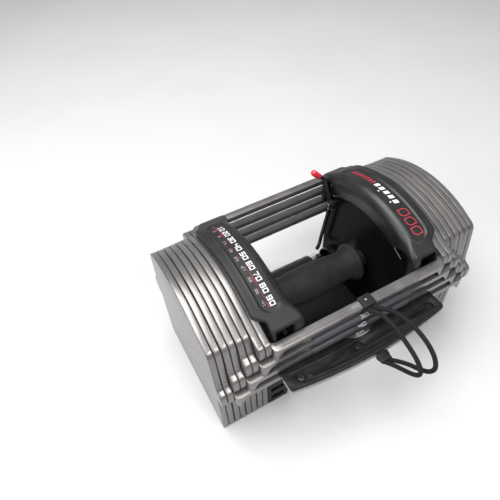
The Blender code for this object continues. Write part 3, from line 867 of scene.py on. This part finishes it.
def cover_ring(index, sign, flare):
    """One section of a cover, as points in space, at a place along its profile."""
    point, normal = PROFILE[index], NORMALS[index]
    y = point.x
    foot = ease(abs(y), 55.0, 70.0)
    under = blend(15.2, 7.3, foot)
    inner = blend(25.4, 8.9, foot)
    inner_r = blend(10.0, 5.0, foot)
    x_in = COVER_IN_X - flare * ease(abs(y), 60.0, 77.0)
    x_out = blend(COVER_OUT_X, COVER_NECK_X, ease(abs(y), 60.0, 71.0))
    outer_r = 2.6
    step_x = min(98.0, x_out - 0.5)
    ring = [(step_x, under), (COVER_WEB_X, under), (COVER_WEB_X, inner), (x_in + 1.2, inner),
            (x_in, inner - 1.2)]
    start, end = x_in + inner_r, x_out - outer_r
    ring += arc((start, inner_r), inner_r, 180, 270, 10)
    columns = 50
    for k in range(1, columns):
        x = blend(start, end, k / columns)
        ring.append((x, pocket_depth(x, PLACES[index])))
    ring += arc((end, outer_r), outer_r, -90, 0, 6)
    lip = min(7.3, under - 0.2)
    ring += [(x_out, lip), (step_x, lip)]
    return [(sign * x, y - normal.x * d, point.y - normal.y * d) for x, d in ring]


def make_cover(side, sign, flares):
    """A padded top cover: a loft along the arch, with a slot in the foot at either end."""
    rings = []
    for index in range(len(PROFILE)):
        rings.append(cover_ring(index, sign, flares[0] if PROFILE[index].x < 0 else flares[1]))
    node = f"cover_{side}"
    # The right cover's darker colour is painted shade.
    material = COVER if side == "left" else COVER_SHADED
    piece = stand_in(node, skin(rings), material, slot="cover_plastic", smooth=False)
    for way in (-1, 1):
        outline = rounded([(sign * 71.5, 117.0, 2.0), (sign * 71.5, 146.4, 2.0), (sign * 91.3, 146.4, 2.0),
                           (sign * 91.3, 117.0, 2.0)])
        y0, y1 = sorted((way * 68.0, way * 90.0))
        cut(piece, prism(outline, "y", y0, y1))
    round_edges(piece, 0.7, 2)
    piece.data.set_sharp_from_angle(angle=math.radians(60.0))


def make_foot_liners():
    """The dark web inside each foot, which closes the slot towards the hand."""
    for side, sign in SIDES:
        x0, x1 = sorted((sign * 67.6, sign * 73.6))
        outline = rounded([(x0, 113.0, 1.5), (x1, 113.0, 0.6), (x1, 138.5, 0.6), (x0, 138.5, 2.5)])
        for place, way in ENDS:
            y0, y1 = sorted((way * 70.3, way * 71.6))
            web = prism(outline, "y", y0, y1)
            finish_piece(f"foot_liner_{side}_{place}", web, WALL, slot="cover_plastic", smooth=False)


def cover_place(x0, s0):
    """A mapping onto a cover's pocket: u runs forward along the arch and v across it."""
    def place(u, v, h):
        y, z = on_profile(s0 - u, POCKET_DEPTH - INK_LIFT - h)
        return Vector((x0 + v, y, z))
    return place


def make_left_marks():
    """The scale on the left cover: numerals, a red line with ticks, and small second numerals."""
    count = 9
    first, pitch = 45.0, -12.75
    tens = [number_mark(str(10 * (k + 1)), 0.86, cover_place(-81.3, first + pitch * k), 1.26)
            for k in range(count)]
    finish_piece("scale_numbers", merge(tens), WHITE_INK, slot="cover_plastic")
    small = [number_mark(str(round(10 * KG_PER_LB * (k + 1))), 0.5, cover_place(-88.9, first + pitch * k))
             for k in range(count)]
    finish_piece("scale_small_numbers", merge(small), GREY_INK, slot="cover_plastic")
    line = [(u, -0.3) for u in range(-58, 63, 3)]
    line += [(u, 0.3) for u in range(62, -59, -3)]
    bars = [strip_mark(line, cover_place(-85.6, 0.0))]
    for k in range(count):
        tick = [(-0.3, -1.9), (0.3, -1.9), (0.3, -0.3), (-0.3, -0.3)]
        bars.append(strip_mark(tick, cover_place(-85.6, first + pitch * k)))
    finish_piece("scale_line", merge(bars), RED_INK, slot="cover_plastic")


def slanted(width, height, lean):
    """A leaning bar's outline."""
    return [(0.0, -height / 2), (width, -height / 2), (width + lean, height / 2), (lean, height / 2)]


def frame_mark(width, height, line, place):
    """A thin rectangular outline with cut corners, as one closed raised strip."""
    corner = height * 0.28

    def outline(grow):
        a, b, c = width / 2 + grow, height / 2 + grow, corner + grow * 0.6
        return [(-a, -b), (a - c, -b), (a, -b + c), (a, b), (-a + c, b), (-a, b - c)]

    levels = ((0.0, 0.0), (0.0, INK_T), (-line, INK_T), (-line, 0.0))
    return wrap(skin([[(u, v, h) for u, v in outline(grow)] for grow, h in levels], closed=True), place)


def make_right_marks():
    """Plain bars and outlines on the right cover, in the place of lettering."""
    red = [strip_mark(slanted(2.0, 5.4, 1.2), cover_place(86.0, 50.0 - 4.6 * k)) for k in range(8)]
    red += [frame_mark(9.4, 10.6, 1.0, cover_place(84.6, -34.5 - 11.4 * k)) for k in range(3)]
    finish_piece("band_red", merge(red), RED_INK, slot="cover_plastic")
    white = [strip_mark(slanted(4.6, 5.4, 1.2), cover_place(86.0, 12.6 - 7.4 * k)) for k in range(5)]
    white.append(strip_mark(slanted(21.0, 1.4, 0.0), cover_place(80.6, 2.0)))
    finish_piece("band_white", merge(white), WHITE_INK, slot="cover_plastic")


make_cover("left", -1, (6.0, 4.0))
make_cover("right", 1, (2.0, 0.0))
make_foot_liners()
make_left_marks()
make_right_marks()


# -------- handle core

def soften_node(node, material, width):
    """Keep a CAD solid, with its edges rounded and a material of its own."""
    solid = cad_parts[node]
    solid.data.materials.clear()
    solid.data.materials.append(material)
    add_bevel(solid, width)


def make_walls():
    """The comb walls, the inner panels and the thin floor between them keep their CAD solids."""
    soften_node("bottom_bridge", WALL, 0.3)
    for side, sign in SIDES:
        soften_node(f"wall_{side}", WALL, 0.6)
        soften_node(f"panel_{side}", PANEL, 0.5)
        bead = [(sign * BEAD_X, y, z) for y, z, _ in reversed(arch(58.0, -PANEL_BELOW_ARCH, 60))]
        # The bead's lighter colour paints a highlight line along the panel's edge.
        finish_piece(f"panel_bead_{side}", tube(bead, 0.7, 10), BEAD_PAINTED_HIGHLIGHT, slot="panel_gloss")


def pipe(half, outer, inner):
    """A pipe's profile, half long on either side, with its outer edges eased."""
    return [(-half, outer - 0.4), (-half + 0.4, outer), (half - 0.4, outer), (half, outer - 0.4),
            (half, inner), (-half, inner)]


def make_grip():
    """The contoured rubber grip and the tube that it is moulded round."""
    right = [(0.0, 20.8), (14.0, 20.3), (28.0, 18.9), (39.0, 17.6), (47.0, 17.9), (52.0, 20.2),
             (55.0, 22.6), (57.5, 23.2), (59.4, 22.4), (60.0, 20.8)]
    half = [(p.x, p.y) for p in smooth([(x, r, 0.0) for x, r in right], 4)]
    outer = [(-x, r) for x, r in reversed(half)] + half[1:]
    profile = outer + [(60.0, 12.3), (-60.0, 12.3)]
    stand_in("grip", turned(profile, (0, 0, GRIP_Z), (1, 0, 0), 72, bore=True), RUBBER, angle=50.0)
    ends = node_box("core_tube")[1].x
    core = turned(pipe(ends, 12.0, 9.5), (0, 0, GRIP_Z), (1, 0, 0), 48, bore=True)
    stand_in("core_tube", core, STEEL_BLACK)


def make_adders():
    """The two cross tubes with their windows, and the plated weights inside them."""
    for place, way in ENDS:
        y = way * TUBE_Y
        low, high = node_box(f"adder_tube_{place}")
        ends, radius = high.x, (high.y - low.y) / 2
        profile = pipe(ends, radius, radius - 1.1)
        piece = stand_in(f"adder_tube_{place}", turned(profile, (0, y, TUBE_Z), (1, 0, 0), 56, bore=True),
                         STEEL_BLACK)
        window = rounded([(37.0, TUBE_Z - 2.0, 2.0), (62.0, TUBE_Z - 2.0, 2.0), (62.0, TUBE_Z + 26.0, 0.0),
                          (37.0, TUBE_Z + 26.0, 0.0)])
        cut(piece, prism(window, "y", y - 26.0, y + 26.0))
        shade(piece.data, 35.0)
        low, high = node_box(f"adder_weight_{place}")
        radius = (high.y - low.y) / 2
        shape = [(low.x, radius - 2.0), (low.x + 0.6, radius - 0.8), (low.x + 1.6, radius),
                 (high.x - 2.4, radius), (high.x - 1.0, radius - 0.7), (high.x - 0.3, radius - 1.8),
                 (high.x, radius - 3.2), (high.x, 4.0), (high.x - 1.0, 3.4)]
        weight = turned(shape, (0, y, TUBE_Z), (1, 0, 0), 56)
        stand_in(f"adder_weight_{place}", weight, CHROME, f"{place}_adder")


def make_lever():
    """The bent lock lever with its hub, red tip and pivot bolt."""
    elbow = Vector((61.2, 69.6, 148.6))
    reach = Vector((-13.4, 4.6, 12.6))
    route = [elbow + reach * 0.27, elbow, (62.8, 65.6, 142.5), (LEVER_X, 56.0, 124.0), (LEVER_X, 55.6, 112.0),
             (LEVER_X, 59.5, 92.0), (LEVER_X, 66.6, 54.0), (LEVER_X, 67.4, 48.5), (61.6, 66.4, 45.0),
             (58.4, 64.0, 43.0), (53.6, 61.0, 42.4)]
    piece = finish_piece("lever_rod", tube(smooth(route, 4), 2.4, 18), STEEL_BLACK, "lever")
    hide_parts("lock_lever")
    hub = [(-2.2, 6.1), (-1.8, 6.5), (1.8, 6.5), (2.2, 6.1), (2.2, 2.65), (-2.2, 2.65)]
    pivot = (LEVER_X, PIVOT_Y, PIVOT_Z)
    finish_piece("lever_hub", turned(hub, pivot, (1, 0, 0), bore=True), STEEL_BLACK, "lever")
    cut(piece, turned([(-4.0, 5.8), (4.0, 5.8)], pivot, (1, 0, 0), 32))
    shade(piece.data, 40.0)
    length = reach.length * 0.71
    tip = [(0.0, 2.7), (0.4, 3.2), (1.4, 3.5), (length - 3.2, 3.6), (length - 1.4, 3.2), (length - 0.5, 2.3),
           (length, 0.9)]
    stand_in("lever_tip", turned(tip, elbow + reach * 0.29, reach), RED, "lever", angle=60.0)
    head = [(57.8, 2.4), (57.8, 4.0), (58.2, 4.5), (59.8, 4.6), (60.4, 4.3), (60.4, 2.35), (69.7, 2.35)]
    bolt = stand_in("lever_bolt", turned(head, (0, PIVOT_Y, PIVOT_Z), (1, 0, 0)), ZINC)
    cut(bolt, turned([(56.0, 2.2), (59.2, 2.2)], (0, PIVOT_Y, PIVOT_Z), (1, 0, 0), 6))


make_walls()
make_grip()
make_adders()
make_lever()


# -------- selector pin

def bow_radius(half):
    """The radius of the bowed front of a pin outline that is half this wide on either side."""
    sag = PIN_CORNER_Y - PIN_FRONT_Y
    chord = half - PIN_CORNER_R
    return (chord * chord + sag * sag) / (2 * sag)


def bow_y(x, inset):
    """The y of the pin's bowed front edge at x, moved in by an inset."""
    radius = bow_radius(PIN_HALF)
    return PIN_FRONT_Y + radius - math.sqrt((radius - inset) ** 2 - x * x)


def pin_outline(inset=0.0):
    """The pin's outline from above: straight back, rounded corners and a bowed front."""
    half = PIN_HALF - inset
    corner = PIN_CORNER_Y + inset
    radius = bow_radius(half)
    steps = 28
    bow = []
    for step in range(steps + 1):
        x = (half - PIN_CORNER_R) * (2 * step / steps - 1)
        bow.append((x, PIN_FRONT_Y + inset + radius - math.sqrt(radius * radius - x * x), 0.0))
    return rounded([(-half, PIN_BACK_Y, 1.0), (-half, corner + 0.5, PIN_CORNER_R)] + bow
                   + [(half, corner + 0.5, PIN_CORNER_R), (half, PIN_BACK_Y, 1.0)])


def bow_strip(outer, inner, reach):
    """A strip that follows the pin's bowed front edge, between two insets."""
    places = [reach * (2 * k / 30 - 1) for k in range(31)]
    return [(x, bow_y(x, inner)) for x in places] + [(x, bow_y(x, outer)) for x in reversed(places)]


def make_pin():
    """The prong bar, the pale lower and grey middle layers, the dark top with a rib, and the screws."""
    bend = 7.0
    tip = node_box("pin_bar")[1].y
    half = [(PRONG_X, y) for y in (tip, 60.0, 0.0, -60.0)]
    half += arc((PRONG_X - bend, BAR_Y + bend), bend, 0, -90, 10)
    path = [(x, y, PRONG_Z) for x, y in half + [(-x, y) for x, y in reversed(half)]]
    stand_in("pin_bar", tube(path, PRONG_R, 24), STEEL_GREY, "selector_pin")

    low, high = node_box("pin_base")
    base = stand_in("pin_base", prism(pin_outline(0.3), "z", low.z, high.z), PIN_GREY, "selector_pin",
                    "pin_plastic", smooth=False)
    cut(base, tube(path, PRONG_R + 0.25, 16))
    round_edges(base, 0.8)

    low, high = node_box("pin_cover")
    split = low.z + 3.0
    layer = finish_piece("pin_middle_layer", prism(pin_outline(0.7), "z", low.z, split), PIN_MIDDLE,
                         "selector_pin", "pin_plastic", smooth=False)
    cover = stand_in("pin_cover", prism(pin_outline(), "z", split + 0.25, high.z), PIN, "selector_pin",
                     smooth=False)
    lip = block((-PIN_HALF, PIN_BACK_Y - 6.0, high.z - 2.0), (PIN_HALF, PIN_LIP_Y, high.z))
    cut(cover, lip, "UNION")
    rib = prism(bow_strip(2.6, 5.0, 78.0), "z", high.z - 1.0, high.z + 0.9)
    for piece in (layer, cover):
        notch = turned([(low.z - 3.0, NOTCH_R), (high.z + 3.0, NOTCH_R)], (0, NOTCH_Y, 0), (0, 0, 1), 96)
        cut(piece, notch)
    cut(cover, rib, "UNION")
    for x, y in PIN_SCREWS:
        hole = turned([(high.z - 2.2, 4.6), (high.z + 3.0, 4.6)], (x, y, 0), (0, 0, 1))
        cut(cover, hole)
        shank = turned([(high.z - 3.6, 2.1), (high.z, 2.1)], (x, y, 0), (0, 0, 1), 24)
        cut(cover, shank)
    round_edges(layer, 0.5, 2)
    round_edges(cover, 0.8)
    make_hatching(high.z)
    make_notch_label()
    for number, (x, y) in enumerate(PIN_SCREWS):
        make_screw(number, x, y)


def make_notch_label():
    """The pale weight label that shows in the notch, on the pin's lower layer."""
    low = node_box("pin_base")[1].z
    high = node_box("pin_cover")[1].z - 0.9
    half = 11.0
    radius = NOTCH_R - 0.3
    front = [(x, NOTCH_Y - math.sqrt(radius ** 2 - x * x)) for x in (half * (k / 14 - 1) for k in range(29))]
    outline = front + [(half, PIN_BACK_Y - 0.2), (-half, PIN_BACK_Y - 0.2)]
    label = finish_piece("notch_label", prism(outline, "z", low, high), LABEL, "selector_pin", "pin_plastic",
                         smooth=False)
    round_edges(label, 0.1, 2)


def make_hatching(top):
    """Fine cross teeth along the rib on the pin's front edge."""
    teeth = []
    for k in range(-38, 39):
        x = 2.0 * k
        y = bow_y(x, 3.8)
        tooth = block((x - 0.55, y - 1.5, top + 0.5), (x + 0.55, y + 1.5, top + 1.25))
        bmesh.ops.bevel(tooth, geom=tooth.edges[:], offset=0.22, segments=1, affect="EDGES")
        teeth.append(tooth)
    finish_piece("pin_rib_teeth", merge(teeth), PIN, "selector_pin", "pin_plastic", smooth=False)


def make_screw(number, x, y):
    """A socket-head screw with a rounded rim."""
    node = f"pin_screw_{number + 1}"
    bottom, top = (corner.z for corner in node_box(node))
    profile = [(bottom, 1.2), (bottom + 0.5, 1.8), (top - 1.6, 1.8), (top - 1.6, 4.0), (top - 1.4, 4.2),
               (top - 0.5, 4.2), (top - 0.1, 3.8), (top, 3.2), (top, 0.5)]
    screw = stand_in(node, turned(profile, (x, y, 0), (0, 0, 1)), SCREW, "selector_pin")
    cut(screw, turned([(top - 1.3, 2.3), (top + 1.0, 2.3)], (x, y, 0), (0, 0, 1), 6))
    shade(screw.data, 35.0)


def make_tether_ends():
    """The hitch round the top rail with its rivet, and the socket and sleeve at the pin."""
    low, high = node_box("cord_hitch")
    hitch = stand_in("cord_hitch", block(low, high), HITCH, slot="cord_braid", smooth=False)
    rail_low, rail_high = node_box("rail_20_front")
    cut(hitch, block((low.x - 5.0, rail_low.y - 0.3, rail_high.z - RAIL_T - 0.3),
                     (high.x + 5.0, rail_high.y + 6.3, rail_high.z + 0.3)))
    round_edges(hitch, 1.0)
    centre = ((low.x + high.x) / 2, (low.y + high.y) / 2 + 1.0, 0.0)
    rivet = [(high.z - 0.8, 1.6), (high.z - 0.1, 1.6), (high.z + 0.2, 1.2), (high.z + 0.35, 0.5)]
    finish_piece("hitch_rivet", turned(rivet, centre, (0, 0, 1), 28), ZINC, angle=60.0)

    low, high = node_box("cord_socket")
    socket = stand_in("cord_socket", block(low, high), PIN, "selector_pin", smooth=False)
    round_edges(socket, 1.0)
    middle = Vector(((low.x + high.x) / 2, low.y, (low.z + high.z) / 2))
    sections = ((0.0, 6.3, 3.4), (-3.2, 6.3, 3.4), (-3.8, 5.9, 3.0), (-3.8, 5.5, 2.5), (0.0, 5.5, 2.5))
    rings = []
    for y, wide, radius in sections:
        ends = ((wide - radius, -90.0), (radius - wide, 90.0))
        ring = [point for x, turn in ends for point in arc((x, 0.0), radius, turn + 4.5, turn + 175.5, 19)]
        rings.append([middle + Vector((x, y, z)) for x, z in ring])
    finish_piece("cord_sleeve", skin(rings, closed=True), HITCH, "selector_pin", "cord_braid", angle=50.0)


make_pin()
make_tether_ends()
